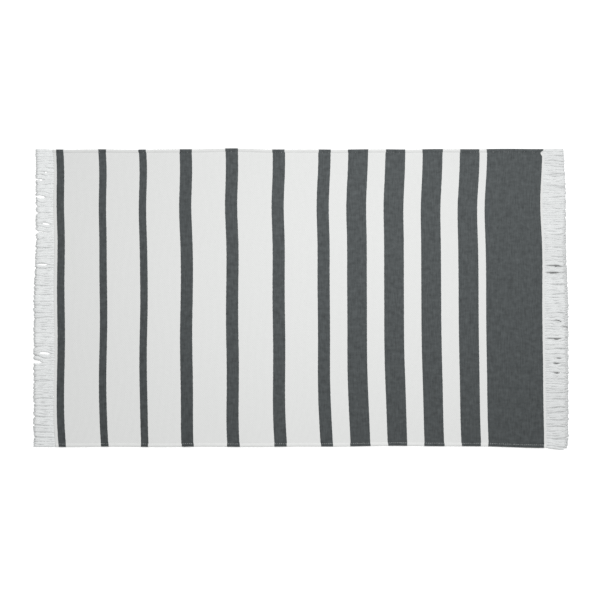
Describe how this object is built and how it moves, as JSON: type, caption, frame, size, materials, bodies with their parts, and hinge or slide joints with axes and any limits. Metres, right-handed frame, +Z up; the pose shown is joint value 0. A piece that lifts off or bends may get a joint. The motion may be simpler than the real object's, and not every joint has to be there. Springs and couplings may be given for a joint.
{
  "type": "bath mat",
  "caption": "Flat-woven striped cotton bath mat with fringed ends and narrow stitched hems, folding across its middle.",
  "frame": {"origin": "middle of the underside of the whole mat, fringes included", "axes": "+X along the mat from the end with the narrow stripes to the end with the wide dark panel, +Y across it towards the rear hem, +Z up out of the face"},
  "size_m": [1.0744, 0.6, 0.0051],
  "materials": {
    "natural_cotton": "undyed, off-white cotton yarn, matt flat weave and loose fringe",
    "charcoal_cotton": "charcoal grey dyed cotton yarn, matt, faintly mottled flat weave",
    "sewing_thread": "white spun sewing thread, slight sheen"
  },
  "bodies": {
    "left_half": {"left_header": "natural_cotton", "dark_stripe_01": "charcoal_cotton", "dark_stripe_02": "charcoal_cotton", "dark_stripe_03": "charcoal_cotton", "dark_stripe_04": "charcoal_cotton", "dark_stripe_05": "charcoal_cotton", "dark_stripe_06": "charcoal_cotton", "light_band_01": "natural_cotton", "light_band_02": "natural_cotton", "light_band_03": "natural_cotton", "light_band_04": "natural_cotton", "light_band_05": "natural_cotton", "light_band_06_left": "natural_cotton", "left_warp_and_fringe": "natural_cotton", "front_hem_left": "natural_cotton", "rear_hem_left": "natural_cotton", "front_hem_thread_left": "sewing_thread", "rear_hem_thread_left": "sewing_thread"},
    "right_half": {"light_band_06_right": "natural_cotton", "dark_stripe_07": "charcoal_cotton", "dark_stripe_08": "charcoal_cotton", "dark_stripe_09": "charcoal_cotton", "dark_stripe_10": "charcoal_cotton", "dark_stripe_11": "charcoal_cotton", "dark_stripe_12": "charcoal_cotton", "light_band_07": "natural_cotton", "light_band_08": "natural_cotton", "light_band_09": "natural_cotton", "light_band_10": "natural_cotton", "light_band_11": "natural_cotton", "right_header": "natural_cotton", "right_warp_and_fringe": "natural_cotton", "front_hem_right": "natural_cotton", "rear_hem_right": "natural_cotton", "front_hem_thread_right": "sewing_thread", "rear_hem_thread_right": "sewing_thread"}
  },
  "joints": [
    {"name": "fold_middle", "type": "hinge", "parent": "left_half", "child": "right_half", "pos_m": [0.00135, 0, 0.0056], "axis": [0, -1, 0], "range_deg": [0, 180]}
  ]
}
